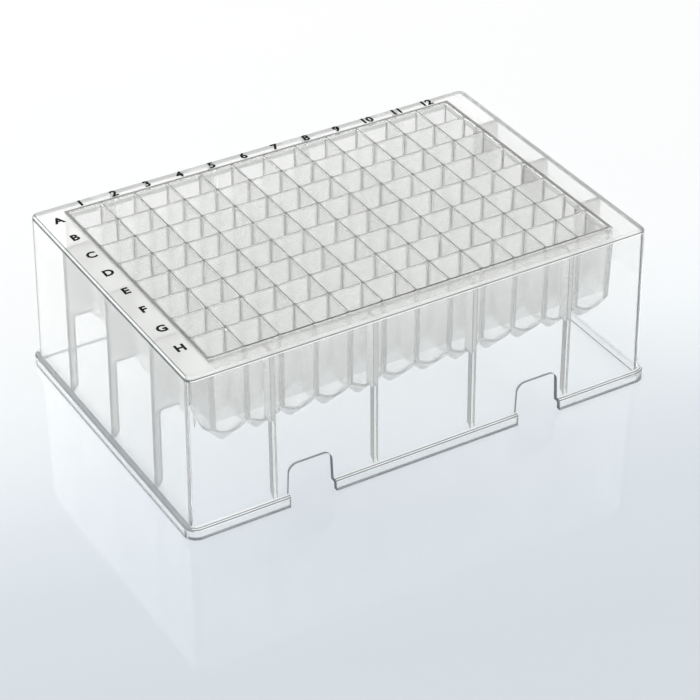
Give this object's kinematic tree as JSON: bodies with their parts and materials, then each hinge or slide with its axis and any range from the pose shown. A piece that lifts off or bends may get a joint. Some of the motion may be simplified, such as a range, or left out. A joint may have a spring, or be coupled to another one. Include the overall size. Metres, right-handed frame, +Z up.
{
  "type": "well plate",
  "caption": "Deep-well microplate: an open grid of square wells with conical bottoms, ribbed into a tall skirt on a stepped foot, moulded in translucent plastic to hold liquid samples.",
  "frame": {"origin": "centre of the footprint, on the surface the plate stands on", "axes": "+X from column 1 to column 12, +Y from row H to row A, +Z up, out of the wells"},
  "size_m": [0.1278, 0.0854, 0.0437],
  "materials": {
    "polypropylene": "natural translucent, satin"
  },
  "bodies": {
    "root": {"well_plate": "polypropylene"}
  },
  "joints": []
}
